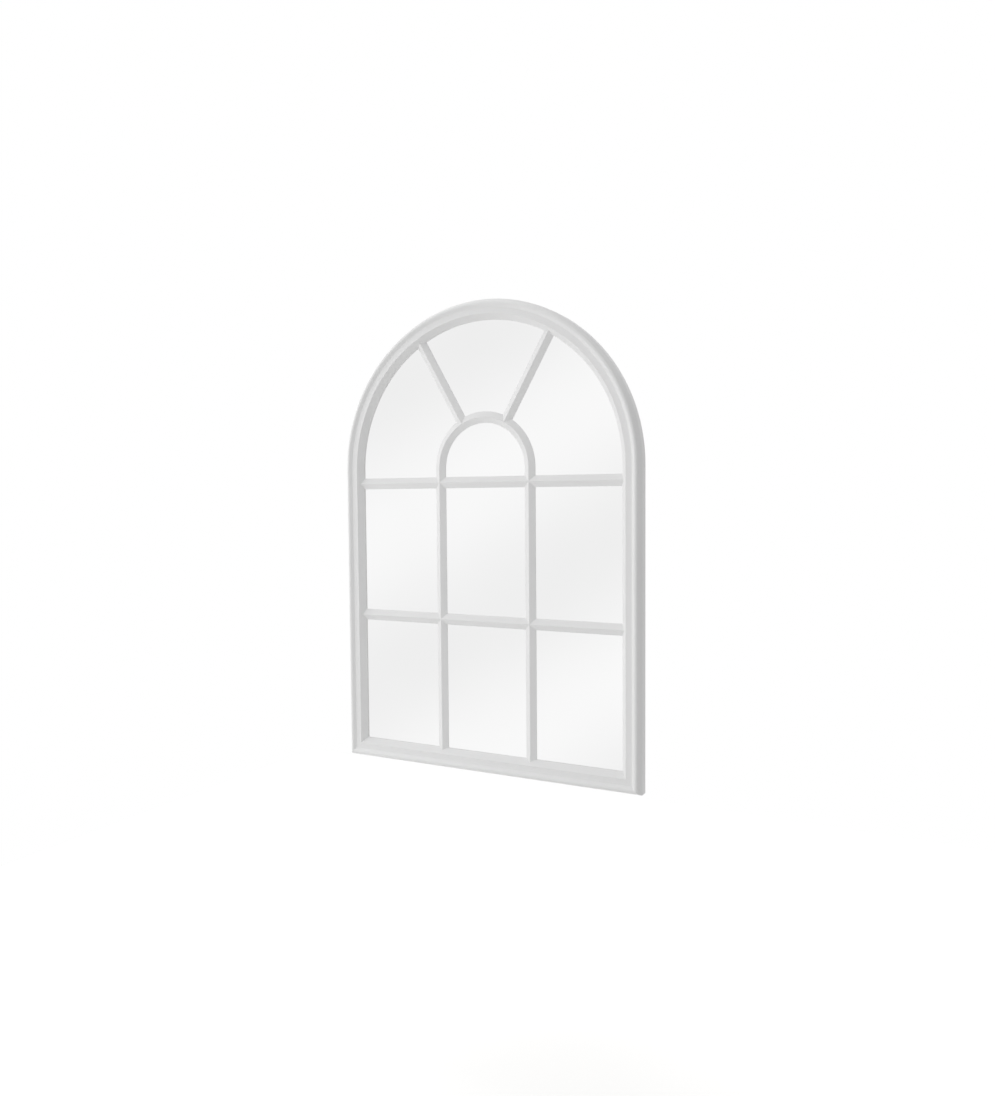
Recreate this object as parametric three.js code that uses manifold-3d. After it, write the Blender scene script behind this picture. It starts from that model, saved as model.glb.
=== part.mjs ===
// Arched window mirror. A moulded frame with a half-round head holds one arched sheet of mirror
// glass, and gable-section glazing bars lie on the glass in a window pattern: two cross bars, two
// uprights joined by a small arch, and two rays. Behind are a backing board, hanger rings and pads.
// Millimetres, +Z up, front towards -Y, origin at the centre of the foot of the bounding box.
// "Across" is measured in from the frame's outer edge, "deep" forward from the frame's back.

import * as THREE from 'three';
import { mergeVertices } from 'three/addons/utils/BufferGeometryUtils.js';
import Module from 'manifold-3d';

const wasm = await Module();
wasm.setup();

// ---- Driving dimensions ----

// Outline
const frameWidth = 700;
const frameHeight = 1000;

// Frame moulding
const faceWidth = 42; // outer edge to sight edge
const frameDepth = 32; // back to the crest of the raised outer edge
const crestAcross = 10.25; // outer edge to the crest
const crestRadius = 5.5;
const outerLean = 26; // degrees that the raised edge's outer flank leans in from the flat side
const innerFall = 36; // degrees that its inner flank falls away from the front
const bandBelowCrest = 4.6; // the inner flank meets the flat band this far behind the crest
const slopeWidth = 10.8; // inner slope, seen from the front
const slopeTopBelowCrest = 4.2; // the slope's top edge lies this far behind the crest
const bandHollow = 0.3; // the flat band is hollowed this much at its middle
const lipThickness = 2.5; // edge left in front of the glass
const bandSteps = 3;
const crestSteps = 8; // round the crest, from flank to flank
const headSteps = 96; // steps in a full turn of the head
const headSegments = 3; // curved pieces that make up the half-round head

// Rebates, glass and board
const backRecess = 7; // frame's back to the board's back
const boardThickness = 3;
const glassThickness = 3;
const glassLedge = 10; // ledge behind the lip, in front of the glass
const boardLedge = 10; // ledge that the board is screwed to
const glassClearance = 2; // round the glass, filled by the setting blocks
const boardClearance = 1;
const outlineSteps = 64; // steps round the arched edge of the glass and the board
const cutMargin = 30; // cutting shapes reach this far past what they cut

// Glazing bars
const barWidth = 24;
const barHeight = 8;
const barEdge = 1; // upright edge where a flank meets the glass
const upperBarDrop = 29.5; // springing line down to the upper cross bar's centre line
const rayCount = 2;
const rayCentreRise = 7; // the rays spread from a point this far above the springing line

// Joints
const jointGap = 0.3; // left between a piece and the neighbour it is cut to
const glueLine = 0.1; // between two glued members of the frame
const tongueLength = 18;
const tongueWidth = 14;
const tongueThickness = 4;

// Setting blocks
const blockLength = 30;

// Screws, each with a round head, flat on top, over a shank with a point
const boardScrew = {
  headRadius: 3,
  headHeight: 1.9,
  headEdge: 0.6, // upright rim of the head
  shankRadius: 1.5,
  length: 14,
  tip: 3,
};
const hangerScrew = {
  headRadius: 3.5,
  headHeight: 2.2,
  headEdge: 0.7,
  shankRadius: 1.75,
  length: 16,
  tip: 3.5,
};
const pilotClearance = 0.15;
const screwSides = 10;
const headTop = 0.62; // flat top of a screw's head, as a share of the head
const recessWidth = 0.8; // cross recess, as long as the flat top
const recessDepth = 1.1;
const screwsPerStile = 2;
const screwsInFoot = 2;
const screwsPerHeadSegment = 2;

// Hangers, on the backs of the stiles
const hangerDrop = 30; // springing line down to the ring's pivot
const ringWireRadius = 1.25;
const ringSideClearance = 0.6; // between the ring's leg and the strap's edge
const ringLegLength = 6.5; // pivot to where the bow begins
const ringInnerBend = 0.35;
const ringSteps = 16; // along half the ring
const ringSides = 8;
const ringOverlap = 0.05; // the two halves of the ring run into each other by this much
const strapWidth = 12;
const strapSheet = 1; // the strap is folded, so it is two sheets thick
const strapEnd = 11; // last screw to the foot of the strap
const strapScrews = 2;
const strapScrewPitch = 14;
const screwBelowRing = 1.9; // between the hanging ring and the first screw's head
const pivotClearance = 0.3;
const loopSteps = 20;
const footSteps = 10; // round the foot of the strap

// Wall pads
const padRadius = 7;
const padProud = 0.4; // the pads stand out this much further than the hangers
const padRound = 1.2;
const padFromCorner = 60; // outer edge of the frame to the middle of a foot pad
const padSides = 24;
const padHeadAngle = 45; // degrees up from the springing line

// ---- Sizes worked out from them ----

const headRadius = frameWidth / 2;
const springLevel = frameHeight - headRadius;
const boardFront = backRecess + boardThickness;
const glassFront = boardFront + glassThickness;
const sightDeep = glassFront + lipThickness;
const slopeTopDeep = frameDepth - slopeTopBelowCrest;
const slopeTopAcross = faceWidth - slopeWidth;
const crestCentreDeep = frameDepth - crestRadius;
const glassRebate = faceWidth - glassLedge;
const boardRebate = glassRebate - boardLedge;
const glassEdge = glassRebate + glassClearance;
const boardEdge = boardRebate + boardClearance;
const sightRadius = headRadius - faceWidth;
const barHalf = barWidth / 2;
const paneWidth = (2 * sightRadius - 2 * barWidth) / 3; // three panes and two uprights fill a row
const uprightOffset = paneWidth / 2 + barHalf;
const upperBarLevel = springLevel - upperBarDrop;
const lowerBarLevel = (faceWidth + upperBarLevel - barHalf) / 2; // two rows of panes alike in height
const backMiddle = boardRebate / 2; // outer edge to the middle of the frame's back face
const screwInset = boardRebate + boardLedge / 2;
const tongueAcross = boardRebate - tongueWidth / 2;
const tongueDeep = (boardFront + slopeTopDeep) / 2;
const hangerLevel = springLevel - hangerDrop;
const loopRadius = ringWireRadius + pivotClearance + strapSheet;
const strapThickness = 2 * strapSheet;
const ringHalfWidth = strapWidth / 2 + ringSideClearance + ringWireRadius; // to the middle of the wire
const ringCornerRadius = ringInnerBend + ringWireRadius;
const ringLength = ringLegLength + ringHalfWidth;
const ringCrossing = ringLegLength + Math.sqrt(ringHalfWidth ** 2 - (strapWidth / 2) ** 2);
const ringLean = Math.asin((strapThickness + jointGap + ringWireRadius - loopRadius) / ringCrossing);
const firstScrewDrop = ringLength + ringWireRadius + screwBelowRing + hangerScrew.headRadius;
const strapLength = firstScrewDrop + (strapScrews - 1) * strapScrewPitch + strapEnd;
const padThickness = 2 * loopRadius + padProud;
const degree = Math.PI / 180;
const mergeDistance = 1e-4;

// ---- Shapes and solids ----

const point = (x, y) => new THREE.Vector2(x, y);

// Solid from a closed geometry, with its shared corners merged and the empty faces at poles left out.
function solid(geometry) {
  const bare = geometry.clone();
  bare.deleteAttribute('normal');
  bare.deleteAttribute('uv');
  const merged = mergeVertices(bare, mergeDistance);
  const faces = [];
  for (let i = 0; i < merged.index.count; i += 3) {
    const [a, b, c] = [0, 1, 2].map((corner) => merged.index.getX(i + corner));
    if (a !== b && b !== c && c !== a) faces.push(a, b, c);
  }
  return new wasm.Manifold(new wasm.Mesh({
    numProp: 3,
    vertProperties: new Float32Array(merged.attributes.position.array),
    triVerts: new Uint32Array(faces),
  }));
}

// Geometry from a solid, ready for a mesh.
function surface(body) {
  const mesh = body.getMesh();
  const geometry = new THREE.BufferGeometry();
  geometry.setAttribute('position', new THREE.BufferAttribute(new Float32Array(mesh.vertProperties), 3));
  geometry.setIndex(new THREE.BufferAttribute(new Uint32Array(mesh.triVerts), 1));
  geometry.computeVertexNormals();
  return geometry;
}

const subtractAll = (body, tools) => tools.reduce((left, tool) => left.subtract(tool), body);

// Name from a list made for this many copies, or a numbered one when there are more or fewer.
const named = (names, count, index, stem) => (
  names.length === count ? names[index] : `${stem}_${index + 1}`
);

// Plate with a front-view outline, from one depth to another.
function plate(outline, fromDeep, toDeep) {
  const shape = new THREE.Shape(outline);
  const geometry = new THREE.ExtrudeGeometry(shape, { depth: toDeep - fromDeep, bevelEnabled: false });
  geometry.rotateX(Math.PI / 2);
  geometry.translate(0, -fromDeep, 0);
  return solid(geometry);
}

// Straight length of a section drawn as x and -deep, standing from one level to another.
function uprightLength(section, fromLevel, toLevel) {
  const shape = new THREE.Shape(section);
  const geometry = new THREE.ExtrudeGeometry(shape, { depth: toLevel - fromLevel, bevelEnabled: false });
  geometry.translate(0, 0, fromLevel);
  return solid(geometry);
}

// The same laid along X, with the section drawn as level and -deep.
function levelLength(section, fromX, toX) {
  const shape = new THREE.Shape(section);
  const geometry = new THREE.ExtrudeGeometry(shape, { depth: toX - fromX, bevelEnabled: false });
  geometry.rotateY(-Math.PI / 2);
  geometry.translate(toX, 0, 0);
  return solid(geometry);
}

// Ring about the head's centre, with the section drawn as radius and -deep. A section drawn
// clockwise is turned round, so that the ring faces outwards.
function turned(section) {
  const round = THREE.ShapeUtils.isClockWise(section) ? [...section].reverse() : section;
  const geometry = new THREE.LatheGeometry([...round, round[0]], headSteps);
  geometry.translate(0, 0, springLevel);
  return solid(geometry);
}

// Place on the head's circle, at an angle up from the springing line on the right.
const onHead = (radius, angle) => point(
  radius * Math.cos(angle * degree),
  springLevel + radius * Math.sin(angle * degree),
);

// ---- Frame moulding ----

// Corners of the moulding's section as across and deep, round the section from the back's outer edge.
// The raised edge is a round crest, with a straight flank on each side that touches it. The outer
// flank runs down to the flat side, the inner flank to the band.
function mouldingSection() {
  const corners = [point(0, 0)];
  const onCrest = (turn) => point(
    crestAcross + crestRadius * Math.cos(turn * degree),
    crestCentreDeep + crestRadius * Math.sin(turn * degree),
  );
  const outerTurn = 180 - outerLean;
  const innerTurn = 90 - innerFall;
  const outerEnd = onCrest(outerTurn);
  corners.push(point(0, outerEnd.y - outerEnd.x / Math.tan(outerLean * degree)));
  for (let i = 0; i <= crestSteps; i += 1) {
    corners.push(onCrest(outerTurn + (innerTurn - outerTurn) * (i / crestSteps)));
  }
  const innerEnd = corners[corners.length - 1];
  const bandDeep = frameDepth - bandBelowCrest;
  corners.push(point(innerEnd.x + (innerEnd.y - bandDeep) / Math.tan(innerFall * degree), bandDeep));
  const quirk = corners[corners.length - 1];
  for (let i = 1; i <= bandSteps; i += 1) {
    const share = i / bandSteps;
    const hollow = 4 * bandHollow * share * (1 - share);
    corners.push(point(
      quirk.x + (slopeTopAcross - quirk.x) * share,
      quirk.y + (slopeTopDeep - quirk.y) * share - hollow,
    ));
  }
  corners.push(point(faceWidth, sightDeep), point(faceWidth, glassFront));
  corners.push(point(glassRebate, glassFront), point(glassRebate, boardFront));
  corners.push(point(boardRebate, boardFront), point(boardRebate, 0));
  return corners;
}

// Inner part of the moulding, larger by the joint gap, that the ends of the bars are cut to.
function copingSection() {
  const run = slopeWidth / (slopeTopDeep - sightDeep); // across for each mm of depth
  const gapAcross = jointGap * Math.hypot(1, run);
  return [
    point(-cutMargin, glassFront - cutMargin),
    point(faceWidth + jointGap, glassFront - cutMargin),
    point(faceWidth + jointGap, sightDeep - (jointGap - gapAcross) / run),
    point(faceWidth + gapAcross - run * (frameDepth - sightDeep), frameDepth),
    point(-cutMargin, frameDepth),
  ];
}

// The four runs of the frame in one section: foot rail, stiles and head, still unmitred.
function frameRuns(section) {
  const stile = (side) => section.map((corner) => point(side * (headRadius - corner.x), -corner.y));
  return {
    left: uprightLength(stile(-1), 0, springLevel),
    right: uprightLength(stile(1), 0, springLevel),
    foot: levelLength(section.map((corner) => point(corner.x, -corner.y)), -headRadius, headRadius),
    head: turned(section.map((corner) => point(headRadius - corner.x, -corner.y))),
  };
}

// Front-view outlines that cut the runs to their mitres and butt joints.
const wide = headRadius / Math.cos(Math.PI / 4) + cutMargin;
const mitreReach = boardRebate + faceWidth;
const stileOutline = (side) => [
  point(side * wide, 0),
  point(side * headRadius, 0),
  point(side * (headRadius - mitreReach), mitreReach),
  point(side * (headRadius - mitreReach), springLevel),
  point(side * wide, springLevel),
];
const footOutline = [
  point(-headRadius, 0),
  point(headRadius, 0),
  point(headRadius - mitreReach, mitreReach),
  point(-headRadius + mitreReach, mitreReach),
];
const headCentre = point(0, springLevel);
const headAngle = 180 / headSegments;
const headWedge = (index) => [
  headCentre,
  onHead(wide, index * headAngle),
  onHead(wide, (index + 0.5) * headAngle),
  onHead(wide, (index + 1) * headAngle),
];

// Every joint of the frame: the place of its loose tongue, and the direction of the joint line in
// degrees up from X.
const tongueX = headRadius - tongueAcross;
const headJointNames = ['spring_right', 'head_right', 'head_left', 'spring_left'];
const frameJoints = [
  { name: 'foot_left', at: point(-tongueX, tongueAcross), turn: 45 },
  { name: 'foot_right', at: point(tongueX, tongueAcross), turn: 135 },
];
for (let i = 0; i <= headSegments; i += 1) {
  const name = named(headJointNames, headSegments + 1, i, 'head');
  frameJoints.push({ name, at: onHead(tongueX, i * headAngle), turn: i * headAngle });
}

// Block that lies across a joint: its size along the joint line, in depth and across the line.
function acrossJoint(joint, along, deep, across) {
  const geometry = new THREE.BoxGeometry(along, deep, across);
  geometry.rotateY(-joint.turn * degree);
  geometry.translate(joint.at.x, -tongueDeep, joint.at.y);
  return solid(geometry);
}

const tongues = {};
const jointCuts = [];
for (const joint of frameJoints) {
  const grow = 2 * jointGap;
  tongues[`tongue_${joint.name}`] = acrossJoint(joint, tongueWidth, tongueThickness, tongueLength);
  jointCuts.push(acrossJoint(joint, tongueWidth + grow, tongueThickness + grow, tongueLength + grow));
  jointCuts.push(acrossJoint(joint, 2 * mitreReach, 2 * frameDepth + cutMargin, glueLine));
}

// ---- Screw places ----

// The board's screws are spread evenly along each member of the frame.
const boardScrewPlaces = [];
for (let i = 1; i <= screwsInFoot; i += 1) {
  boardScrewPlaces.push(point(frameWidth * (i / (screwsInFoot + 1)) - headRadius, screwInset));
}
for (const side of [-1, 1]) {
  for (let i = 1; i <= screwsPerStile; i += 1) {
    boardScrewPlaces.push(point(side * (headRadius - screwInset), springLevel * (i / (screwsPerStile + 1))));
  }
}
for (let i = 0; i < headSegments * screwsPerHeadSegment; i += 1) {
  const angle = ((i + 0.5) / screwsPerHeadSegment) * headAngle;
  boardScrewPlaces.push(onHead(headRadius - screwInset, angle));
}

const hangerX = headRadius - backMiddle;
const hangerSides = [{ name: 'left', x: -hangerX }, { name: 'right', x: hangerX }];
const hangerScrewPlaces = hangerSides.flatMap((side) => (
  Array.from({ length: strapScrews }, (_, i) => (
    point(side.x, hangerLevel - firstScrewDrop - i * strapScrewPitch)
  ))
));

// Hole for a screw whose head sits at a depth, from behind everything to just past the tip.
function pilot(size, spot, seatDeep) {
  const geometry = new THREE.CylinderGeometry(
    size.shankRadius + pilotClearance,
    size.shankRadius + pilotClearance,
    cutMargin + size.length + jointGap,
    screwSides,
  );
  geometry.translate(spot.x, (cutMargin - size.length - jointGap) / 2 - seatDeep, spot.y);
  return solid(geometry);
}

const pilots = [
  ...boardScrewPlaces.map((spot) => pilot(boardScrew, spot, backRecess)),
  ...hangerScrewPlaces.map((spot) => pilot(hangerScrew, spot, -strapThickness)),
];

// ---- Frame members ----

const runs = frameRuns(mouldingSection());

function member(run, outline) {
  const blank = run.intersect(plate(outline, -cutMargin, frameDepth + cutMargin));
  return subtractAll(blank, [...jointCuts, ...pilots]);
}

const headNames = ['head_right', 'head_crown', 'head_left'];
const frameMembers = {
  stile_left: member(runs.left, stileOutline(-1)),
  stile_right: member(runs.right, stileOutline(1)),
  rail_bottom: member(runs.foot, footOutline),
};
for (let i = 0; i < headSegments; i += 1) {
  frameMembers[named(headNames, headSegments, i, 'head')] = member(runs.head, headWedge(i));
}

// ---- Arched sheets: the glass and its backing board ----

function archOutline(across) {
  const radius = headRadius - across;
  const outline = [point(-radius, across), point(radius, across)];
  for (let i = 0; i <= outlineSteps; i += 1) {
    outline.push(onHead(radius, (180 * i) / outlineSteps));
  }
  return outline;
}

const glass = plate(archOutline(glassEdge), boardFront, glassFront);
const board = subtractAll(plate(archOutline(boardEdge), backRecess, boardFront), pilots);

// ---- Glazing bars ----

// Gable section as offset from the bar's centre line and deep, larger all round by a gap.
const flankRise = (barHeight - barEdge) / barHalf;
function gable(grow) {
  const half = barHalf + grow;
  const ridge = barHeight + grow * Math.hypot(1, flankRise);
  const edge = ridge - half * flankRise;
  const under = grow > 0 ? glassFront - cutMargin : glassFront;
  return [
    point(-half, under),
    point(half, under),
    point(half, glassFront + edge),
    point(0, glassFront + ridge),
    point(-half, glassFront + edge),
  ];
}

const coping = frameRuns(copingSection());
const aboveSpring = plate(
  [
    point(-wide, springLevel),
    point(wide, springLevel),
    point(wide, springLevel + wide),
    point(-wide, springLevel + wide),
  ],
  -cutMargin,
  frameDepth + cutMargin,
);
const frameCutters = [coping.left, coping.right, coping.foot, coping.head.intersect(aboveSpring)];

const uprightBar = (x, grow, top) => uprightLength(
  gable(grow).map((corner) => point(x + corner.x, -corner.y)),
  0,
  top,
);
const crossBar = (level, fromX, toX) => levelLength(
  gable(0).map((corner) => point(level + corner.x, -corner.y)),
  fromX,
  toX,
);
const archBar = (grow) => turned(
  gable(grow).map((corner) => point(uprightOffset + corner.x, -corner.y)),
);

// Ray from the small arch's ridge out to the head's edge. Its line passes above the head's centre.
function rayBar(angle) {
  const beside = rayCentreRise * Math.cos(angle * degree);
  const above = rayCentreRise * Math.sin(angle * degree);
  const reach = (radius) => Math.sqrt(radius ** 2 - beside ** 2) - above;
  const shape = new THREE.Shape(gable(0).map((corner) => point(corner.x, -corner.y)));
  const depth = reach(headRadius) - reach(uprightOffset);
  const geometry = new THREE.ExtrudeGeometry(shape, { depth, bevelEnabled: false });
  geometry.translate(0, 0, reach(uprightOffset));
  geometry.rotateY((90 - angle) * degree);
  geometry.translate(0, 0, springLevel + rayCentreRise);
  return solid(geometry);
}

const uprightCutters = [-uprightOffset, uprightOffset].map((x) => uprightBar(x, jointGap, springLevel));
const barNames = ['left', 'centre', 'right'];
const barEnds = [-headRadius, -uprightOffset, uprightOffset, headRadius];
const bars = {
  bar_upright_left: subtractAll(uprightBar(-uprightOffset, 0, springLevel - jointGap), frameCutters),
  bar_upright_right: subtractAll(uprightBar(uprightOffset, 0, springLevel - jointGap), frameCutters),
  bar_arch: archBar(0).intersect(aboveSpring),
};
for (const [row, level] of [['lower', lowerBarLevel], ['upper', upperBarLevel]]) {
  barNames.forEach((name, i) => {
    const blank = crossBar(level, barEnds[i], barEnds[i + 1]);
    bars[`bar_${row}_${name}`] = subtractAll(blank, [...frameCutters, ...uprightCutters]);
  });
}
const archCutter = archBar(jointGap);
for (let i = 1; i <= rayCount; i += 1) {
  const angle = (180 * i) / (rayCount + 1);
  const name = named(['bar_ray_right', 'bar_ray_left'], rayCount, i - 1, 'bar_ray');
  bars[name] = subtractAll(rayBar(angle), [...frameCutters, archCutter]);
}

// ---- Setting blocks round the glass ----

// The foot blocks stand at the quarter points of the glass, the side blocks halfway up the stiles.
function settingBlock(x, level, wideX, high) {
  const thick = glassThickness - 2 * jointGap;
  const geometry = new THREE.BoxGeometry(wideX, thick, high);
  geometry.translate(x, -(boardFront + glassThickness / 2), level);
  return solid(geometry);
}

const blockMiddle = glassRebate + glassClearance / 2;
const blocks = {};
for (const [name, side] of [['left', -1], ['right', 1]]) {
  blocks[`setting_block_foot_${name}`] = settingBlock(
    (side * (headRadius - glassEdge)) / 2,
    blockMiddle,
    blockLength,
    glassClearance,
  );
  blocks[`setting_block_side_${name}`] = settingBlock(
    side * (headRadius - blockMiddle),
    springLevel / 2,
    glassClearance,
    blockLength,
  );
}

// ---- Screws ----

// Pan-head screw pointing forward, its head's underside at a depth.
function screw(size, spot, seatDeep) {
  const top = size.headRadius * headTop;
  const profile = [
    point(0, -size.length),
    point(size.shankRadius, size.tip - size.length),
    point(size.shankRadius, 0),
    point(size.headRadius, 0),
    point(size.headRadius, size.headEdge),
    point(top, size.headHeight),
    point(0, size.headHeight),
  ];
  const body = new THREE.LatheGeometry(profile, screwSides);
  const slot = new THREE.BoxGeometry(2 * top, 2 * recessDepth, recessWidth);
  const cross = new THREE.BoxGeometry(recessWidth, 2 * recessDepth, 2 * top);
  for (const geometry of [body, slot, cross]) geometry.translate(spot.x, -seatDeep, spot.y);
  for (const geometry of [slot, cross]) geometry.translate(0, size.headHeight, 0);
  return subtractAll(solid(body), [solid(slot), solid(cross)]);
}

const screws = {};
boardScrewPlaces.forEach((spot, i) => {
  screws[`board_screw_${String(i + 1).padStart(2, '0')}`] = screw(boardScrew, spot, backRecess);
});
hangerScrewPlaces.forEach((spot, i) => {
  const side = hangerSides[Math.floor(i / strapScrews)];
  const number = (i % strapScrews) + 1;
  screws[`hanger_screw_${side.name}_${number}`] = screw(hangerScrew, spot, -strapThickness);
});

// ---- Hangers ----

// Turns a shape drawn as distance behind the frame's back and height from the pivot, and extruded,
// into one that stands that way with its thickness along X.
const sideways = new THREE.Matrix4().makeBasis(
  new THREE.Vector3(0, 1, 0),
  new THREE.Vector3(0, 0, 1),
  new THREE.Vector3(1, 0, 0),
);

// Folded strap: a loop round the ring's wire above a flat double sheet with a round foot.
function strap(x) {
  const half = strapWidth / 2;
  const inLoop = strapThickness - loopRadius;
  const leave = -Math.acos(inLoop / loopRadius);
  const shape = new THREE.Shape();
  shape.moveTo(0, -strapLength);
  shape.lineTo(strapThickness, -strapLength);
  shape.absarc(loopRadius, 0, loopRadius, leave, Math.PI, false);
  const bore = new THREE.Path();
  bore.absarc(loopRadius, 0, ringWireRadius + pivotClearance, 0, 2 * Math.PI, true);
  shape.holes.push(bore);
  const geometry = new THREE.ExtrudeGeometry(shape, {
    depth: strapWidth,
    bevelEnabled: false,
    curveSegments: loopSteps,
  });
  geometry.applyMatrix4(sideways);
  geometry.translate(x - half, 0, hangerLevel);
  const foot = hangerLevel - strapLength + half;
  const top = hangerLevel + cutMargin;
  const outline = [point(x + half, top), point(x - half, top)];
  for (let i = 0; i <= footSteps; i += 1) {
    const turn = Math.PI * (1 + i / footSteps);
    outline.push(point(x + half * Math.cos(turn), foot + half * Math.sin(turn)));
  }
  return subtractAll(solid(geometry).intersect(plate(outline, -cutMargin, cutMargin)), pilots);
}

// Centre line of half the ring, from the middle of its pivot bar round to the middle of the bow.
class HalfRing extends THREE.Curve {
  constructor(side) {
    super();
    this.side = side;
    const straight = ringHalfWidth - ringCornerRadius;
    this.path = new THREE.Path();
    this.path.moveTo(-ringOverlap, 0);
    this.path.lineTo(straight, 0);
    this.path.absarc(straight, -ringCornerRadius, ringCornerRadius, Math.PI / 2, 0, true);
    this.path.lineTo(ringHalfWidth, -ringLegLength);
    this.path.absarc(0, -ringLegLength, ringHalfWidth, 0, -Math.PI / 2, true);
    this.path.lineTo(-ringOverlap, -ringLength);
  }

  getPoint(share, target = new THREE.Vector3()) {
    const spot = this.path.getPointAt(share);
    return target.set(this.side * spot.x, 0, spot.y);
  }
}

// The ring hangs from its pivot bar and leans back enough for its bow to clear the strap.
function ring(x) {
  const section = [];
  for (let i = 0; i < ringSides; i += 1) {
    const turn = (2 * Math.PI * (i + 0.5)) / ringSides;
    section.push(point(ringWireRadius * Math.cos(turn), ringWireRadius * Math.sin(turn)));
  }
  const halves = [-1, 1].map((side) => solid(new THREE.ExtrudeGeometry(new THREE.Shape(section), {
    steps: ringSteps,
    extrudePath: new HalfRing(side),
    bevelEnabled: false,
  })));
  const geometry = surface(halves[0].add(halves[1]));
  geometry.rotateX(ringLean);
  geometry.translate(x, loopRadius, hangerLevel);
  return geometry;
}

// ---- Wall pads ----

function wallPad(spot) {
  const profile = [
    point(0, 0),
    point(padRadius, 0),
    point(padRadius, padThickness - padRound),
    point(padRadius - padRound, padThickness),
    point(0, padThickness),
  ];
  const geometry = new THREE.LatheGeometry(profile, padSides);
  geometry.translate(spot.x, 0, spot.y);
  return solid(geometry);
}

const padFootX = headRadius - padFromCorner;
const padRing = headRadius - backMiddle;
const pads = {
  wall_pad_foot_left: wallPad(point(-padFootX, backMiddle)),
  wall_pad_foot_right: wallPad(point(padFootX, backMiddle)),
  wall_pad_head_left: wallPad(onHead(padRing, 180 - padHeadAngle)),
  wall_pad_head_right: wallPad(onHead(padRing, padHeadAngle)),
};

// ---- Assembly ----

const finishes = {
  whitePaint: { color: 0xefefed, roughness: 0.45, metalness: 0 },
  mirror: { color: 0xf1f4f3, roughness: 0.02, metalness: 1 },
  hardboard: { color: 0x8c6b47, roughness: 0.8, metalness: 0 },
  plywood: { color: 0xd9bd90, roughness: 0.7, metalness: 0 },
  zincSteel: { color: 0xc2c5c8, roughness: 0.35, metalness: 1 },
  rubber: { color: 0x3a3a3a, roughness: 0.85, metalness: 0 },
  plastic: { color: 0xe9e8e2, roughness: 0.5, metalness: 0 },
};

const mirror = new THREE.Group();
mirror.position.y = (frameDepth - padThickness) / 2;

function place(name, geometry, finish) {
  const mesh = new THREE.Mesh(geometry, new THREE.MeshStandardMaterial(finishes[finish]));
  mesh.name = name;
  mirror.add(mesh);
}

function placeAll(bodies, finish) {
  for (const [name, body] of Object.entries(bodies)) place(name, surface(body), finish);
}

placeAll(frameMembers, 'whitePaint');
placeAll(bars, 'whitePaint');
placeAll({ mirror_glass: glass }, 'mirror');
placeAll({ backing_board: board }, 'hardboard');
placeAll(tongues, 'plywood');
placeAll(blocks, 'plastic');
placeAll(screws, 'zincSteel');
placeAll(pads, 'rubber');
for (const side of hangerSides) {
  place(`hanger_strap_${side.name}`, surface(strap(side.x)), 'zincSteel');
  place(`hanger_ring_${side.name}`, ring(side.x), 'zincSteel');
}

export default mirror;
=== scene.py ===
# Arched window mirror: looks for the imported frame. Metres, +Z up, front towards -Y.
# Sizes in the dictionaries are millimetres. "across" is measured in from the frame's outer edge,
# "deep" forward from the frame's back, as a joiner marks them out.
import math

import bmesh
import bpy
import numpy as np
from mathutils import Matrix, Vector


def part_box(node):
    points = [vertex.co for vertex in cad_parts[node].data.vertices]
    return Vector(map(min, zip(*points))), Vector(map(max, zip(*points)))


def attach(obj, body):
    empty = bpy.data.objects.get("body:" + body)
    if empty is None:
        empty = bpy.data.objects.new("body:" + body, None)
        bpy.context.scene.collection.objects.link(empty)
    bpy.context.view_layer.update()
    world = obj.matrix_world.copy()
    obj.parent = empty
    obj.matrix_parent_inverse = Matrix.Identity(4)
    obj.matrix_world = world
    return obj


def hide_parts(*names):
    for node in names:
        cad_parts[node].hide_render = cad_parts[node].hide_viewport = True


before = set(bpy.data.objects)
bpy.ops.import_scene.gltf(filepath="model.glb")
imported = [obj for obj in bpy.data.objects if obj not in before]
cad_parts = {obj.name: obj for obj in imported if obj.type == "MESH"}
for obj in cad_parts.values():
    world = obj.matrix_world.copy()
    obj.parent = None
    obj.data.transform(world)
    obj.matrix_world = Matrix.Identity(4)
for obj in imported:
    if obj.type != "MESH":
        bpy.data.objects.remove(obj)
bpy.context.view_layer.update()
print("frame loaded,", len(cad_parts), "CAD nodes")

mm = 0.001
glueLine = 0.1
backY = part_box("stile_left")[1].y / mm      # the frame's back, behind the origin
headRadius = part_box("stile_right")[1].x / mm
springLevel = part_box("stile_left")[1].z / mm + glueLine / 2
nearlyZero = 1e-9      # keeps a division away from zero


def hexColour(code):
    # sRGB hex to linear light: the usual curve, with its straight foot below 0.04
    c = np.array([int(code[i:i + 2], 16) for i in (1, 3, 5)]) / 255
    linear = np.where(c <= 0.04045, c / 12.92, ((c + 0.055) / 1.055) ** 2.4)
    return (*linear.tolist(), 1.0)


def addNode(tree, kind, values=None, links=None, **settings):
    node = tree.nodes.new(kind)
    for name, value in settings.items():
        setattr(node, name, value)
    for socket, value in (values or {}).items():
        node.inputs[socket].default_value = value
    for socket, source in (links or {}).items():
        tree.links.new(source, node.inputs[socket])
    return node


def newMaterial(name):
    material = bpy.data.materials.new(name)
    material.use_nodes = True
    material.node_tree.nodes.clear()
    return material, material.node_tree


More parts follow.
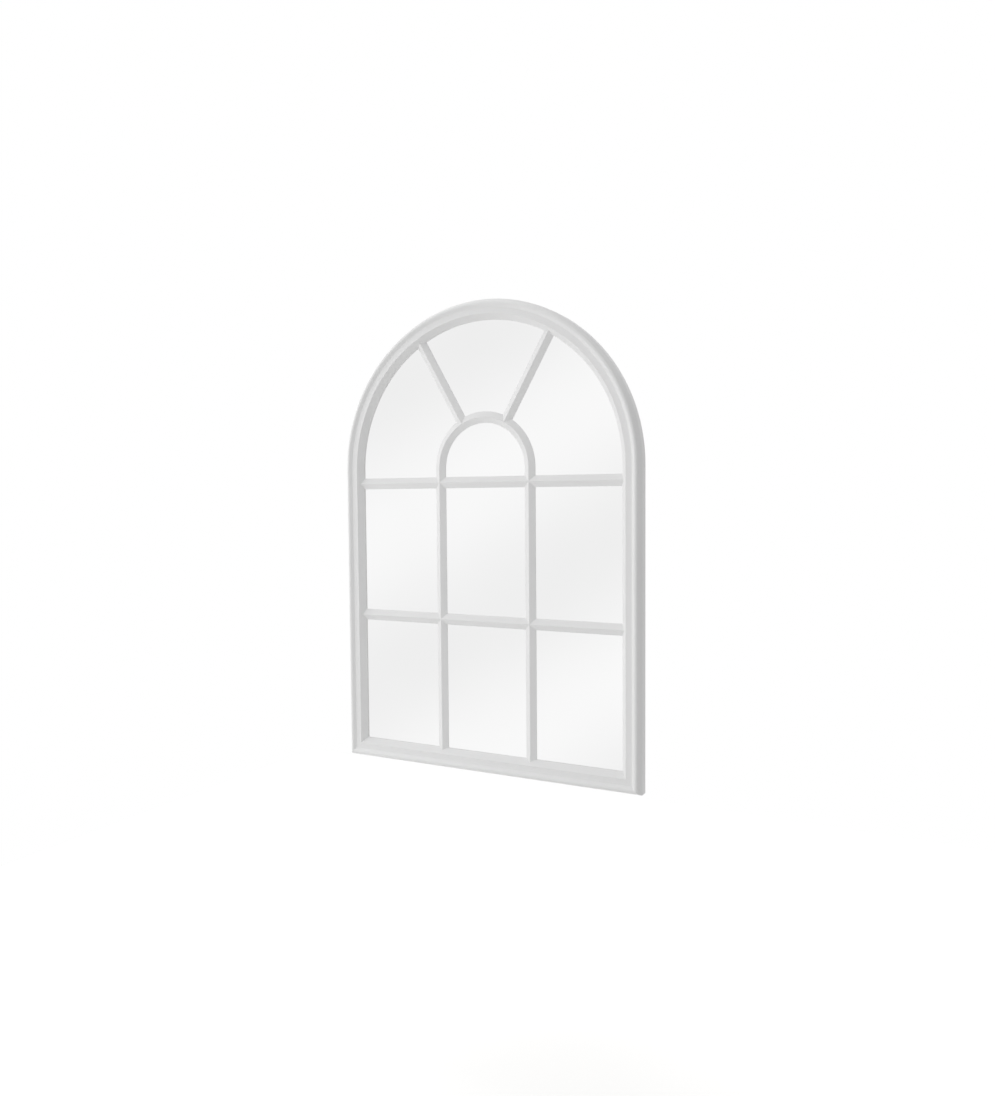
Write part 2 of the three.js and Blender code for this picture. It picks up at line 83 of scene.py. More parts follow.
def softenCorners(corners, radii, steps):
    # Each corner of a closed outline becomes an arc of its radius: the arc's centre lies on the
    # bisector at radius / sin(half angle), and its points turn evenly from one side to the other.
    # Corners of radius 0 stay single points. Also gives the corner that each point came from.
    corners, radii = np.asarray(corners, float), np.asarray(radii, float)
    before = np.roll(corners, 1, 0) - corners
    after = np.roll(corners, -1, 0) - corners
    before /= np.linalg.norm(before, axis=1)[:, None]
    after /= np.linalg.norm(after, axis=1)[:, None]
    between = np.arccos(np.clip((before * after).sum(1), -1, 1))
    bisector = before + after
    bisector /= np.maximum(np.linalg.norm(bisector, axis=1), nearlyZero)[:, None]
    centre = corners + bisector * (radii / np.sin(between / 2))[:, None]
    reach = (radii / np.tan(between / 2))[:, None]
    first, last = corners + before * reach - centre, corners + after * reach - centre
    turn = np.maximum(np.pi - between, nearlyZero)[:, None, None]
    share = np.linspace(0, 1, steps)[None, :, None]
    arcs = np.sin((1 - share) * turn) * first[:, None] + np.sin(share * turn) * last[:, None]
    points = centre[:, None] + arcs / np.sin(turn)
    keep = (radii[:, None] > 0) | (np.arange(steps) == 0)[None]
    return points[keep], np.repeat(np.arange(len(corners)), steps).reshape(-1, steps)[keep]


def skinFaces(rows, count, closed):
    # quads between neighbouring rows of a grid whose rows are closed loops of count points
    here = np.arange(count)
    low = np.arange(rows if closed else rows - 1)[:, None] * count
    high = (low + count) % (rows * count)
    ahead = (here + 1) % count
    faces = np.stack([low + here, low + ahead, high + ahead, high + here], -1).reshape(-1, 4).tolist()
    if not closed:
        faces += [list(range(count))[::-1], list(range((rows - 1) * count, rows * count))]
    return faces


def makePiece(name, grid, look, node, rides="mirror", closed=False, crease=35, marks=None):
    # One object from a (rows, points, 3) grid in millimetres, with a face over each of its ends
    # unless it closes on itself. It hides its CAD node and rides the body it is given.
    mesh = bpy.data.meshes.new(name)
    mesh.from_pydata((grid.reshape(-1, 3) * mm).tolist(), [], skinFaces(*grid.shape[:2], closed))
    for label, values in (marks or {}).items():
        attribute = mesh.attributes.new(label, "FLOAT", "POINT")
        attribute.data.foreach_set("value", np.asarray(values, np.float32).ravel())
    shell = bmesh.new()
    shell.from_mesh(mesh)
    bmesh.ops.recalc_face_normals(shell, faces=shell.faces)
    shell.to_mesh(mesh)
    shell.free()
    mesh.shade_smooth()
    mesh.set_sharp_from_angle(angle=math.radians(crease))
    material, slot = look
    mesh.materials.append(material)
    piece = bpy.data.objects.new(name, mesh)
    bpy.context.scene.collection.objects.link(piece)
    flats = piece.modifiers.new("flats_stay_flat", "WEIGHTED_NORMAL")      # only the edges shade round
    flats.keep_sharp = True
    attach(piece, rides)
    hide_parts(node)


# Materials. On a colour Mix node the factor is socket 0, the two colours are 6 and 7, and the
# result is output 2. A Wave texture of scale 1 repeats its stripes every waveStripe metres.
waveStripe = 0.314

paint = {
    "colour": "#E9E9E9", "shade": "#E4E4E4", "driftSize": 180,      # lacquer, and its slow drift
    "board": "#A98C6B", "dust": "#CFC8BB", "fibreSize": 1.1, "mistSize": 9,
    "mistPull": 1.1, "thinFrom": 1.0, "thinTo": 1.5, "thinMost": 0.8,      # where the paint runs thin
    "roughness": 0.42, "spread": 0.05, "bareRougher": 0.4,
    "peelSize": 2.2, "peelHeight": 0.01, "peelStrength": 0.5, "ior": 1.47,
}


def paintedFibreboard():
    # Fibreboard sprayed with satin white lacquer: a soft, even sheen with faint orange peel. Only
    # overspray reached the back, so brown fibres show through there in soft patches.
    material, tree = newMaterial("sprayed_white_fibreboard")
    place = {"Vector": addNode(tree, "ShaderNodeTexCoord").outputs["Object"]}
    drift = addNode(tree, "ShaderNodeTexNoise", {"Scale": 1 / (paint["driftSize"] * mm)}, place)
    lacquer = addNode(tree, "ShaderNodeMix",
                      {6: hexColour(paint["colour"]), 7: hexColour(paint["shade"])},
                      {0: drift.outputs["Fac"]}, data_type="RGBA")
    fibres = addNode(tree, "ShaderNodeTexNoise",
                     {"Scale": 1 / (paint["fibreSize"] * mm), "Detail": 6, "Roughness": 0.7}, place)
    raw = addNode(tree, "ShaderNodeMix", {6: hexColour(paint["board"]), 7: hexColour(paint["dust"])},
                  {0: fibres.outputs["Fac"]}, data_type="RGBA")
    mist = addNode(tree, "ShaderNodeTexNoise",
                   {"Scale": 1 / (paint["mistSize"] * mm), "Detail": 8, "Roughness": 0.75}, place)
    bare = addNode(tree, "ShaderNodeAttribute", attribute_name="bare")
    thin = addNode(tree, "ShaderNodeMath", {1: paint["mistPull"]},
                   {0: bare.outputs["Fac"], 2: mist.outputs["Fac"]}, operation="MULTIPLY_ADD")
    share = addNode(tree, "ShaderNodeMapRange",
                    {"From Min": paint["thinFrom"], "From Max": paint["thinTo"],
                     "To Max": paint["thinMost"]},
                    {"Value": thin.outputs[0]}, interpolation_type="SMOOTHSTEP")
    skin = addNode(tree, "ShaderNodeMix",
                   links={0: share.outputs[0], 6: lacquer.outputs[2], 7: raw.outputs[2]},
                   data_type="RGBA")
    sheen = addNode(tree, "ShaderNodeMapRange", {"To Min": paint["roughness"] - paint["spread"],
                                                 "To Max": paint["roughness"] + paint["spread"]},
                    {"Value": mist.outputs["Fac"]})
    rough = addNode(tree, "ShaderNodeMath", {1: paint["bareRougher"]},
                    {0: share.outputs[0], 2: sheen.outputs[0]}, operation="MULTIPLY_ADD")
    peel = addNode(tree, "ShaderNodeTexNoise",
                   {"Scale": 1 / (paint["peelSize"] * mm), "Detail": 1}, place)
    bump = addNode(tree, "ShaderNodeBump",
                   {"Strength": paint["peelStrength"], "Distance": paint["peelHeight"] * mm},
                   {"Height": peel.outputs["Fac"]})
    shader = addNode(tree, "ShaderNodeBsdfPrincipled", {"IOR": paint["ior"]},
                     {"Base Color": skin.outputs[2], "Roughness": rough.outputs[0],
                      "Normal": bump.outputs[0]})
    addNode(tree, "ShaderNodeOutputMaterial", links={"Surface": shader.outputs[0]})
    return material


silver = {"colour": "#F8F8F8", "haze": "#F4F4F4", "roughness": 0.004, "hazeSize": 260}


def silveredGlass():
    # Float glass silvered on its back: a clean, near-colourless reflection with a trace of haze.
    material, tree = newMaterial("silvered_float_glass")
    place = {"Vector": addNode(tree, "ShaderNodeTexCoord").outputs["Object"]}
    haze = addNode(tree, "ShaderNodeTexNoise",
                   {"Scale": 1 / (silver["hazeSize"] * mm), "Detail": 1}, place)
    colour = addNode(tree, "ShaderNodeMix",
                     {6: hexColour(silver["colour"]), 7: hexColour(silver["haze"])},
                     {0: haze.outputs["Fac"]}, data_type="RGBA")
    shader = addNode(tree, "ShaderNodeBsdfPrincipled",
                     {"Metallic": 1, "Roughness": silver["roughness"]},
                     {"Base Color": colour.outputs[2]})
    addNode(tree, "ShaderNodeOutputMaterial", links={"Surface": shader.outputs[0]})
    return material


hardboard = {
    "light": "#9C7650", "dark": "#6E4C2F", "fibreSize": 2.4, "cloudSize": 90, "cloudPull": 0.25,
    "darkFrom": 0.4, "darkTo": 0.85, "screen": 3.0, "screenWaver": 0.6,
    "fleckHeight": 0.4, "relief": 0.12, "reliefStrength": 0.6, "roughness": 0.82,
}


def pressedHardboard():
    # Wet-pressed hardboard, its rough side out: dull brown fibre flecks under the print of the
    # wire screen it was pressed on. The screen is drawn at 3 mm, coarser than real, so it shows.
    material, tree = newMaterial("pressed_hardboard")
    place = {"Vector": addNode(tree, "ShaderNodeTexCoord").outputs["Object"]}
    flecks = addNode(tree, "ShaderNodeTexNoise",
                     {"Scale": 1 / (hardboard["fibreSize"] * mm), "Detail": 8, "Roughness": 0.72},
                     place)
    clouds = addNode(tree, "ShaderNodeTexNoise",
                     {"Scale": 1 / (hardboard["cloudSize"] * mm), "Detail": 3}, place)
    both = addNode(tree, "ShaderNodeMath", {1: hardboard["cloudPull"]},
                   {0: clouds.outputs["Fac"], 2: flecks.outputs["Fac"]}, operation="MULTIPLY_ADD")
    share = addNode(tree, "ShaderNodeMapRange",
                    {"From Min": hardboard["darkFrom"], "From Max": hardboard["darkTo"]},
                    {"Value": both.outputs[0]})
    colour = addNode(tree, "ShaderNodeMix",
                     {6: hexColour(hardboard["light"]), 7: hexColour(hardboard["dark"])},
                     {0: share.outputs[0]}, data_type="RGBA")
    wires = [addNode(tree, "ShaderNodeTexWave",
                     {"Scale": waveStripe / (hardboard["screen"] * mm),
                      "Distortion": hardboard["screenWaver"]},
                     place, bands_direction=way) for way in ("X", "Z")]
    screen = addNode(tree, "ShaderNodeMath",
                     links={i: wire.outputs["Fac"] for i, wire in enumerate(wires)},
                     operation="MULTIPLY")
    height = addNode(tree, "ShaderNodeMath", {1: hardboard["fleckHeight"]},
                     {0: flecks.outputs["Fac"], 2: screen.outputs[0]}, operation="MULTIPLY_ADD")
    bump = addNode(tree, "ShaderNodeBump",
                   {"Strength": hardboard["reliefStrength"], "Distance": hardboard["relief"] * mm},
                   {"Height": height.outputs[0]})
    shader = addNode(tree, "ShaderNodeBsdfPrincipled", {"Roughness": hardboard["roughness"]},
                     {"Base Color": colour.outputs[2], "Normal": bump.outputs[0]})
    addNode(tree, "ShaderNodeOutputMaterial", links={"Surface": shader.outputs[0]})
    return material


zinc = {
    "bright": "#B9BDC2", "dull": "#8D9298", "cloudSize": 4, "roughness": (0.24, 0.42),
    "grainSize": 0.9, "grainHeight": 0.02, "grainStrength": 0.2,
}


def brightZincPlate():
    # Pressed and drawn steel, bright zinc plated: a cool grey metal, softly clouded by the bath.
    material, tree = newMaterial("bright_zinc_plate")
    place = {"Vector": addNode(tree, "ShaderNodeTexCoord").outputs["Object"]}
    clouds = addNode(tree, "ShaderNodeTexNoise",
                     {"Scale": 1 / (zinc["cloudSize"] * mm), "Detail": 4, "Roughness": 0.6}, place)
    colour = addNode(tree, "ShaderNodeMix",
                     {6: hexColour(zinc["bright"]), 7: hexColour(zinc["dull"])},
                     {0: clouds.outputs["Fac"]}, data_type="RGBA")
    rough = addNode(tree, "ShaderNodeMapRange",
                    {"To Min": zinc["roughness"][0], "To Max": zinc["roughness"][1]},
                    {"Value": clouds.outputs["Fac"]})
    grain = addNode(tree, "ShaderNodeTexNoise",
                    {"Scale": 1 / (zinc["grainSize"] * mm), "Detail": 3}, place)
    bump = addNode(tree, "ShaderNodeBump",
                   {"Strength": zinc["grainStrength"], "Distance": zinc["grainHeight"] * mm},
                   {"Height": grain.outputs["Fac"]})
    shader = addNode(tree, "ShaderNodeBsdfPrincipled", {"Metallic": 1},
                     {"Base Color": colour.outputs[2], "Roughness": rough.outputs[0],
                      "Normal": bump.outputs[0]})
    addNode(tree, "ShaderNodeOutputMaterial", links={"Surface": shader.outputs[0]})
    return material


rubber = {
    "colour": "#2B2B2C", "bloom": "#3A3A3B", "bloomSize": 5, "roughness": 0.68,
    "pebbleSize": 0.7, "pebbleHeight": 0.05, "pebbleStrength": 0.3,
}


def mouldedRubber():
    # Compression-moulded black rubber: matt, with a fine pebble and a greyish bloom.
    material, tree = newMaterial("moulded_black_rubber")
    place = {"Vector": addNode(tree, "ShaderNodeTexCoord").outputs["Object"]}
    bloom = addNode(tree, "ShaderNodeTexNoise",
                    {"Scale": 1 / (rubber["bloomSize"] * mm), "Detail": 4}, place)
    colour = addNode(tree, "ShaderNodeMix",
                     {6: hexColour(rubber["colour"]), 7: hexColour(rubber["bloom"])},
                     {0: bloom.outputs["Fac"]}, data_type="RGBA")
    pebble = addNode(tree, "ShaderNodeTexVoronoi", {"Scale": 1 / (rubber["pebbleSize"] * mm)}, place)
    bump = addNode(tree, "ShaderNodeBump",
                   {"Strength": rubber["pebbleStrength"], "Distance": rubber["pebbleHeight"] * mm},
                   {"Height": pebble.outputs["Distance"]})
    shader = addNode(tree, "ShaderNodeBsdfPrincipled", {"Roughness": rubber["roughness"]},
                     {"Base Color": colour.outputs[2], "Normal": bump.outputs[0]})
    addNode(tree, "ShaderNodeOutputMaterial", links={"Surface": shader.outputs[0]})
    return material


birch = {"pale": "#E3CDA4", "glueLine": "#B08A58", "veneer": 1.3, "grainSize": 1.5, "roughness": 0.7}


def birchPlywood():
    # Rotary-cut birch veneers glued crosswise: pale wood in thin layers, front to back.
    material, tree = newMaterial("birch_plywood")
    place = {"Vector": addNode(tree, "ShaderNodeTexCoord").outputs["Object"]}
    layers = addNode(tree, "ShaderNodeTexWave",
                     {"Scale": waveStripe / (birch["veneer"] * mm), "Distortion": 1}, place,
                     bands_direction="Y")
    grain = addNode(tree, "ShaderNodeTexNoise",
                    {"Scale": 1 / (birch["grainSize"] * mm), "Detail": 5}, place)
    both = addNode(tree, "ShaderNodeMath",
                   links={0: layers.outputs["Fac"], 1: grain.outputs["Fac"]}, operation="MULTIPLY")
    colour = addNode(tree, "ShaderNodeMix",
                     {6: hexColour(birch["pale"]), 7: hexColour(birch["glueLine"])},
                     {0: both.outputs[0]}, data_type="RGBA")
    shader = addNode(tree, "ShaderNodeBsdfPrincipled", {"Roughness": birch["roughness"]},
                     {"Base Color": colour.outputs[2]})
    addNode(tree, "ShaderNodeOutputMaterial", links={"Surface": shader.outputs[0]})
    return material


polythene = {"colour": "#E8E6DF", "cloud": "#DEDBD2", "flowSize": 6, "roughness": 0.45}


def mouldedPolythene():
    # Injection-moulded polythene: waxy off-white with faint flow clouds.
    material, tree = newMaterial("moulded_polythene")
    place = {"Vector": addNode(tree, "ShaderNodeTexCoord").outputs["Object"]}
    flow = addNode(tree, "ShaderNodeTexNoise",
                   {"Scale": 1 / (polythene["flowSize"] * mm), "Detail": 3}, place)
    colour = addNode(tree, "ShaderNodeMix",
                     {6: hexColour(polythene["colour"]), 7: hexColour(polythene["cloud"])},
                     {0: flow.outputs["Fac"]}, data_type="RGBA")
    shader = addNode(tree, "ShaderNodeBsdfPrincipled", {"Roughness": polythene["roughness"]},
                     {"Base Color": colour.outputs[2]})
    addNode(tree, "ShaderNodeOutputMaterial", links={"Surface": shader.outputs[0]})
    return material


# each look is a material and the record's slot that it stands for
whiteLook = (paintedFibreboard(), "white_paint")
glassLook = (silveredGlass(), "mirror_glass")
boardLook = (pressedHardboard(), "hardboard")
steelLook = (brightZincPlate(), "zinc_steel")
rubberLook = (mouldedRubber(), "pad_rubber")
plywoodLook = (birchPlywood(), "plywood")
polytheneLook = (mouldedPolythene(), "setting_plastic")
print("materials made")


moulding = {
    "depth": 32, "crestAcross": 10.25, "crestRound": 5.5,      # the raised outer edge
    "outerLean": 26, "innerFall": 36,                          # its flanks, in degrees
    "bandDeep": 27.4, "slopeTopAcross": 31.2, "slopeTopDeep": 27.8, "hollow": 0.3,
    "faceWidth": 42, "lipDeep": 15.5, "glassDeep": 13, "boardDeep": 10,
    "glassRebate": 32, "boardRebate": 22,
    "backEdge": 0.8, "shoulder": 12, "quirkFill": 0.6, "slopeEdge": 0.8, "lipEdge": 0.5,
    "rebateEdge": 0.2,
    "mistAcross": (14, 8, 4), "mistBare": (1, 0.8, 0.4),      # how the overspray thins at the back
    "edgeBare": 0.15, "lipBare": 0.6,
    "cornerRound": 1.2, "creaseRound": 0.3,      # where the foot is mitred: outer corner, creases
    "cornerSteps": 11, "bandSteps": 8, "mitreSteps": 5, "headStep": 0.75, "rowPitch": 50,
}


def mouldingSection():
    # Closed section as (across, deep), from the outer back corner up the side, over the raised
    # edge, along the hollow band (a parabola), down the inner slope to the lip, and back along the
    # rebates. The raised edge's two flanks are drawn to the point where they would meet, which is
    # then rounded to the crest. The second array says how bare of paint each point is.
    m = moulding
    lean, fall = math.radians(m["outerLean"]), math.radians(m["innerFall"])
    turn = (math.pi - lean + math.pi / 2 - fall) / 2      # from the crest's middle to the peak
    reach = m["crestRound"] / math.cos((math.pi - lean - math.pi / 2 + fall) / 2)
    peak = np.array([m["crestAcross"] + reach * math.cos(turn),
                     m["depth"] - m["crestRound"] + reach * math.sin(turn)])
    side = [0, peak[1] - peak[0] / math.tan(lean)]
    quirk = np.array([peak[0] + (peak[1] - m["bandDeep"]) / math.tan(fall), m["bandDeep"]])
    slopeTop = np.array([m["slopeTopAcross"], m["slopeTopDeep"]])
    share = np.linspace(0, 1, m["bandSteps"] + 1)[1:-1, None]
    hollow = np.concatenate([share * 0, 4 * m["hollow"] * share * (1 - share)], 1)
    band = quirk + (slopeTop - quirk) * share - hollow
    inner = [slopeTop, [m["faceWidth"], m["lipDeep"]], [m["faceWidth"], m["glassDeep"]],
             [m["glassRebate"], m["glassDeep"]], [m["glassRebate"], m["boardDeep"]],
             [m["boardRebate"], m["boardDeep"]], [m["boardRebate"], 0]]
    mist = [[inset, 0] for inset in m["mistAcross"]]
    corners = np.concatenate([[[0, 0], side, peak, quirk], band, inner, mist])
    radii = np.concatenate([[m["backEdge"], m["shoulder"], m["crestRound"], m["quirkFill"]],
                            np.zeros(len(band)), [m["slopeEdge"], m["lipEdge"], 0, 0, 0, 0],
                            [m["rebateEdge"]], np.zeros(len(mist))])
    bareness = np.concatenate([[m["edgeBare"], 0, 0, 0], np.zeros(len(band)),
                               [0, 0, m["lipBare"], 1, 1, 1, 1], m["mistBare"]])
    section, origin = softenCorners(corners, radii, m["cornerSteps"])
    return section, bareness[origin]


section, bareness = mouldingSection()
across, deep = section[:, 0], section[:, 1]


def cornerRows(degrees, side):
    # Rows round a foot corner, as an outline inset by "across" with a rounded corner: its radius
    # is the outer round less the inset, and never less than the crease's.
    turn = np.radians(degrees)[:, None]
    radius = np.maximum(moulding["cornerRound"] - across, moulding["creaseRound"])
    x = side * (headRadius - across - radius + radius * np.cos(turn))
    z = across + radius + radius * np.sin(turn)
    return np.stack([x, np.broadcast_to(backY - deep, x.shape), z], -1)


def headRows(fromDegrees, toDegrees):
    # Rows round the half-round head: radius less "across", turned about the springing line's middle.
    count = round((toDegrees - fromDegrees) / moulding["headStep"]) + 1
    turn = np.radians(np.linspace(fromDegrees, toDegrees, count))[:, None]
    radius = headRadius - across
    x, z = radius * np.cos(turn), springLevel + radius * np.sin(turn)
    return np.stack([x, np.broadcast_to(backY - deep, x.shape), z], -1)


def blendRows(first, last, pitch):
    # straight rows between two end rows, about one for each pitch of length
    count = max(2, round(np.abs(last - first).max() / pitch) + 1)
    share = np.linspace(0, 1, count)[:, None, None]
    return first + (last - first) * share


def paintedPiece(node, grid, bare=0):
    # "bare" says how little paint each point of the section has, from 0 to 1
    marks = {"bare": np.broadcast_to(bare, grid.shape[:2])}
    makePiece(node + "_painted", grid, whiteLook, node, marks=marks)


mitre = 45
toMitre = np.linspace(0, mitre, moulding["mitreSteps"])      # half of a foot corner's turn
for side, name in ((-1, "left"), (1, "right")):
    corner = cornerRows(toMitre - mitre, side)
    top = headRows(0, 1)[0] * [side, 1, 1]      # the head's first row, on this side
    stile = blendRows(corner[-1], top, moulding["rowPitch"])
    paintedPiece("stile_" + name, np.concatenate([corner, stile[1:]]), bareness)
leftFoot, rightFoot = cornerRows(-mitre - toMitre, -1), cornerRows(toMitre - 2 * mitre, 1)
rail = blendRows(leftFoot[-1], rightFoot[0], moulding["rowPitch"])
paintedPiece("rail_bottom", np.concatenate([leftFoot, rail[1:-1], rightFoot]), bareness)
headNames = ("right", "crown", "left")
headTurn = 180 // len(headNames)
for i, name in enumerate(headNames):
    paintedPiece("head_" + name, headRows(headTurn * i, headTurn * (i + 1)), bareness)
print("frame members made,", len(section), "points round the moulding")


bar = {
    "half": 12, "rise": 8, "edge": 1, "ridgeRound": 1.1, "shoulderRound": 0.4, "roundSteps": 7,
    "uprightOffset": 106.6667, "lowerLevel": 325.25, "upperLevel": 620.5,
    "bite": 0.3,            # how far an end runs into the moulding, so that no light shows between
    "mitreBite": 0.075,     # and into the bar that it meets
    "rayAngles": (60, 120), "rayCentreRise": 7,      # the rays spread from above the springing line
    "archStep": 1.5, "rowPitch": 40,
}
glassFaceY = backY - moulding["glassDeep"]


def gableSection():
    # closed section as (offset from the bar's middle line, height off the glass)
    h = bar["half"]
    corners = [(-h, 0), (h, 0), (h, bar["edge"]), (0, bar["rise"]), (-h, bar["edge"])]
    radii = [0, 0, bar["shoulderRound"], bar["ridgeRound"], bar["shoulderRound"]]
    return softenCorners(corners, radii, bar["roundSteps"])[0]


gable = gableSection()
offset, rise = gable[:, 0], gable[:, 1]


def slopeAcross(height):
    # how far in from the outer edge the moulding's inner slope is, at a height off the glass
    m = moulding
    down = (m["glassDeep"] + height - m["lipDeep"]) / (m["slopeTopDeep"] - m["lipDeep"])
    return m["faceWidth"] - np.clip(down, 0, 1) * (m["faceWidth"] - m["slopeTopAcross"])


def straightBar(node, start, direction, fromAlong, toAlong):
    # The gable section carried along a line in the glass's plane. Each point of the section has
    # its own first and last place along it, which shapes the ends to what they meet.
    dx, dz = direction
    count = max(2, round(np.abs(toAlong - fromAlong).max() / bar["rowPitch"]) + 1)
    share = np.linspace(0, 1, count)[:, None]
    along = fromAlong + (toAlong - fromAlong) * share
    x = start[0] + along * dx - offset * dz
    z = start[1] + along * dz + offset * dx
    paintedPiece(node, np.stack([x, np.broadcast_to(glassFaceY - rise, x.shape), z], -1))


toFrame = headRadius - slopeAcross(rise) + bar["bite"]      # from the middle out to the moulding
toRidge = np.abs(offset) - bar["mitreBite"]      # a mitred end, from the crossed bar's ridge
for side, name in ((-1, "left"), (1, "right")):
    straightBar("bar_upright_" + name, (side * bar["uprightOffset"], 0), (0, 1),
                slopeAcross(rise) - bar["bite"], np.full(len(gable), springLevel))
for row in ("lower", "upper"):
    start, u = (0, bar[row + "Level"]), bar["uprightOffset"]
    straightBar("bar_" + row + "_left", start, (1, 0), -toFrame, -u - toRidge)
    straightBar("bar_" + row + "_centre", start, (1, 0), -u + toRidge, u - toRidge)
    straightBar("bar_" + row + "_right", start, (1, 0), u + toRidge, toFrame)
for angle, name in zip(bar["rayAngles"], ("right", "left")):
    # Along a ray, a circle about the head's centre lies at the square root of its radius squared
    # less the sideways distance squared, less the way from that centre up to the ray's own.
    direction = (math.cos(math.radians(angle)), math.sin(math.radians(angle)))
    beside = offset + bar["rayCentreRise"] * direction[0]
    above = bar["rayCentreRise"] * direction[1]
    straightBar("bar_ray_" + name, (0, springLevel + bar["rayCentreRise"]), direction,
                np.sqrt((bar["uprightOffset"] + toRidge) ** 2 - beside ** 2) - above,
                np.sqrt(toFrame ** 2 - beside ** 2) - above)
# the small arch: the same section turned through half a circle about the head's centre
turn = np.radians(np.linspace(0, 180, round(180 / bar["archStep"]) + 1))[:, None]
radius = bar["uprightOffset"] + offset
x, z = radius * np.cos(turn), springLevel + radius * np.sin(turn)
paintedPiece("bar_arch", np.stack([x, np.broadcast_to(glassFaceY - rise, x.shape), z], -1))
print("glazing bars made")


sheets = {
    "mirror_glass": {"across": 34, "back": 10, "front": 13, "arris": 0.3, "look": glassLook},
    "backing_board": {"across": 23, "back": 7, "front": 10, "arris": 0.4, "look": boardLook},
}
sheetCut = {"archSteps": 180, "crease": 25}


def archSheet(sheet):
    # The arched outline inset by "across", at four depths: the two faces are smaller by the arris.
    arris, back, front = sheet["arris"], sheet["back"], sheet["front"]
    turn = np.radians(np.linspace(0, 180, sheetCut["archSteps"] + 1))
    rows = []
    for inset, depth in ((arris, back), (0, back + arris), (0, front - arris), (arris, front)):
        radius = headRadius - sheet["across"] - inset
        x = np.concatenate([[-radius, radius], radius * np.cos(turn)])
        z = np.concatenate([[sheet["across"] + inset] * 2, springLevel + radius * np.sin(turn)])
        rows.append(np.stack([x, np.full(len(x), backY - depth), z], -1))
    return np.stack(rows)


for node, sheet in sheets.items():
    makePiece(node + "_sheet", archSheet(sheet), sheet["look"], node, crease=sheetCut["crease"])
print("glass and board made")


screw = {
    "board": {"head": 3.0, "height": 1.9, "shank": 1.5, "length": 14, "tip": 3.0, "seat": 7},
    "hanger": {"head": 3.5, "height": 2.2, "shank": 1.75, "length": 16, "tip": 3.5, "seat": -2},
    # the cross recess: its arms, how its wall narrows to the floor, and its softened mouth
    "armWidth": 0.9, "armLength": 0.56, "recess": 1.1, "floorShare": 0.55, "wallShare": 0.94,
    "wallDrop": 0.12, "mouthRound": 0.06, "mouthRoom": 0.05,
    # the head, in shares of its radius and height
    "domeDrop": 0.32, "domeRings": (0.7, 0.86), "rimRings": ((0.96, 0.52), (1, 0.36)),
    "underEdge": 0.12, "pointRadius": 0.12, "pointLength": 0.1, "quarterSteps": 10, "crease": 32,
}


def screwGrid(size, x, z):
    # Rows from the recess's floor out over the domed head, down its rim and along the shank.
    # A recess row is a cross: at each angle, the farther edge of two crossed bars. The head is a
    # flattened dome, its height falling with the square of the radius.
    half, arm = screw["armWidth"] / 2, size["head"] * screw["armLength"]
    inQuarter = np.linspace(0, math.pi / 2, screw["quarterSteps"], endpoint=False)
    quarter = np.sort([*inQuarter, math.atan2(half, arm), math.atan2(arm, half)])
    angle = np.concatenate([quarter + i * math.pi / 2 for i in range(4)])
    c = np.maximum(np.abs(np.cos(angle)), nearlyZero)
    s = np.maximum(np.abs(np.sin(angle)), nearlyZero)
    cross = np.maximum(np.minimum(arm / c, half / s), np.minimum(half / c, arm / s))
    head, top, end = size["head"], size["height"], -size["length"]

    def dome(r):
        return top - screw["domeDrop"] * top * (r / head) ** 2

    mouth = cross + screw["mouthRound"]
    inner, outer = (head * share for share in screw["domeRings"])
    first = np.maximum(inner, mouth + screw["mouthRoom"])
    rows = [(cross * screw["floorShare"], top - screw["recess"]),
            (cross * screw["wallShare"], dome(cross) - screw["wallDrop"]),
            (mouth, dome(mouth)), (first, dome(first)), (outer, dome(outer)),
            *((head * out, top * up) for out, up in screw["rimRings"]),
            (head, screw["underEdge"]), (head - screw["underEdge"], 0), (size["shank"], 0),
            (size["shank"], size["tip"] + end), (screw["pointRadius"], screw["pointLength"] + end)]
    wide, behind = (np.stack([np.broadcast_to(row[i], angle.shape) for row in rows]) for i in (0, 1))
    return np.stack([x + wide * np.cos(angle), backY - size["seat"] + behind,
                     z + wide * np.sin(angle)], -1)


def middleOf(node):
    # the middle of a CAD node as seen from the front, in millimetres
    low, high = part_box(node)
    return (low.x + high.x) / 2 / mm, (low.z + high.z) / 2 / mm


for node in sorted(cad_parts):
    kind, isScrew, _ = node.partition("_screw_")
    if isScrew:
        makePiece(node + "_plated", screwGrid(screw[kind], *middleOf(node)), steelLook, node,
                  crease=screw["crease"])
print("screws made")


hanger = {
    "level": 620, "across": 11,
    "wire": 1.25, "halfWidth": 7.85, "leg": 6.5, "bend": 1.6, "lean": 4.96,      # the ring
    "wireSides": 28, "barSteps": 24, "legSteps": 8, "bowPitch": 0.4, "ringCrease": 60,
    "strapHalf": 6, "sheet": 1.0, "loopMiddle": 2.05, "loopCentre": 2.55, "foldRound": 0.8,
    "strapLength": 46, "frontTop": -1, "tipHalf": 0.6, "sheetEdge": 0.28,
    "footSteps": 14, "runSteps": 8, "edgeTurns": (0, 30, 60, 90), "bendPitch": 0.22,
    "strapCrease": 40,
}


def arcPoints(centre, radius, fromDegrees, toDegrees, pitch):
    # points on an arc, about one for each pitch of length
    count = max(3, round(abs(math.radians(toDegrees - fromDegrees)) * radius / pitch))
    turn = np.radians(np.linspace(fromDegrees, toDegrees, count))
    return np.stack([centre[0] + radius * np.cos(turn), centre[1] + radius * np.sin(turn)], -1)


def pathNormals(path, closed):
    # the direction at each point, from its two neighbours, turned a quarter turn on
    ahead = np.roll(path, -1, 0) - np.roll(path, 1, 0) if closed else np.gradient(path, axis=0)
    ahead /= np.linalg.norm(ahead, axis=1)[:, None]
    return np.stack([-ahead[:, 1], ahead[:, 0]], -1)


